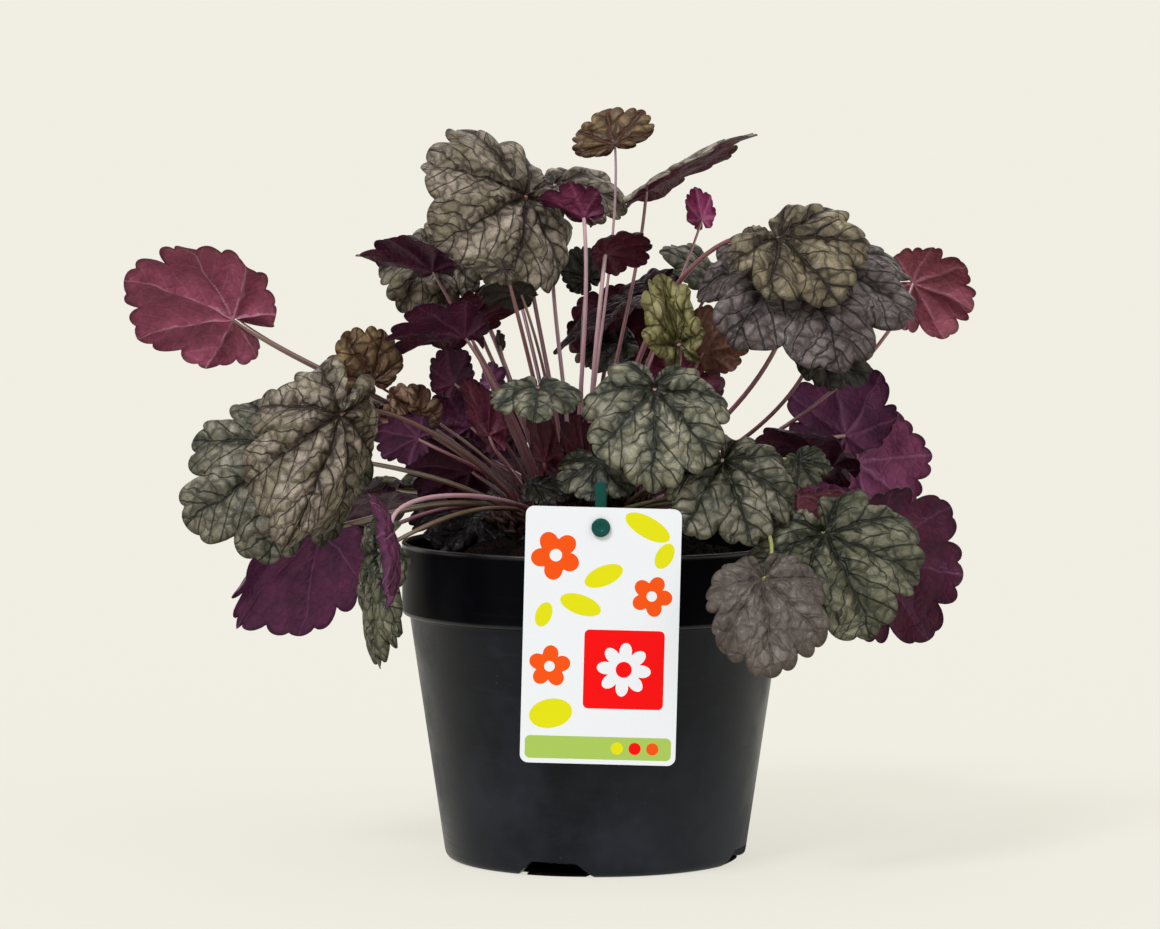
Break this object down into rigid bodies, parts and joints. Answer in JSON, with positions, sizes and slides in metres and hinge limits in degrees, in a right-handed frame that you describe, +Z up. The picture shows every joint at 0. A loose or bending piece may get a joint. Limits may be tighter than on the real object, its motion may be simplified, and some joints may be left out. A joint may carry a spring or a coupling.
{
  "type": "potted heuchera",
  "caption": "Heuchera with veined, lobed silver-green and purple leaves on thin stalks, growing from a woody crown in a round black nursery pot with a hanging plant label.",
  "frame": {"origin": "centre of the pot's base, in the plane that it stands on", "axes": "+Z up along the pot's axis, -Y towards the side where the label hangs, +X to the right seen from that side"},
  "size_m": [0.3752, 0.2614, 0.3298],
  "materials": {
    "pot_plastic": "satin",
    "soil": "matte",
    "rootstock": "matte",
    "stake_plastic": "satin",
    "label_card": "satin",
    "leaf_silver": "satin",
    "leaf_green": "satin",
    "leaf_bronze": "satin",
    "leaf_maroon": "satin",
    "leaf_purple": "satin"
  },
  "bodies": {
    "root": {"pot": "pot_plastic", "soil": "soil", "crown": "rootstock", "label_stake": "stake_plastic", "label": "label_card", "leaf_01": "leaf_maroon", "leaf_02": "leaf_silver", "leaf_03": "leaf_green", "leaf_04": "leaf_bronze", "leaf_05": "leaf_bronze", "leaf_06": "leaf_purple", "leaf_07": "leaf_purple", "leaf_08": "leaf_purple", "leaf_09": "leaf_silver", "leaf_10": "leaf_purple", "leaf_11": "leaf_purple", "leaf_12": "leaf_silver", "leaf_13": "leaf_silver", "leaf_14": "leaf_purple", "leaf_15": "leaf_silver", "leaf_16": "leaf_purple", "leaf_17": "leaf_bronze", "leaf_18": "leaf_purple", "leaf_19": "leaf_maroon", "leaf_20": "leaf_green", "leaf_21": "leaf_purple", "leaf_22": "leaf_bronze", "leaf_23": "leaf_maroon", "leaf_24": "leaf_purple", "leaf_25": "leaf_green", "leaf_26": "leaf_silver", "leaf_27": "leaf_maroon", "leaf_28": "leaf_green", "leaf_29": "leaf_maroon", "leaf_30": "leaf_purple", "leaf_31": "leaf_purple", "leaf_32": "leaf_purple", "leaf_33": "leaf_purple", "leaf_34": "leaf_maroon", "leaf_35": "leaf_green", "leaf_36": "leaf_green", "leaf_37": "leaf_silver", "leaf_38": "leaf_green", "leaf_39": "leaf_purple", "leaf_40": "leaf_green", "leaf_41": "leaf_silver", "leaf_42": "leaf_green", "leaf_43": "leaf_maroon", "leaf_44": "leaf_purple", "leaf_45": "leaf_purple", "leaf_46": "leaf_maroon", "leaf_47": "leaf_silver", "leaf_48": "leaf_green", "leaf_49": "leaf_maroon", "leaf_50": "leaf_green", "leaf_51": "leaf_green", "leaf_52": "leaf_bronze", "leaf_53": "leaf_green", "leaf_54": "leaf_silver", "leaf_55": "leaf_green"}
  },
  "joints": []
}
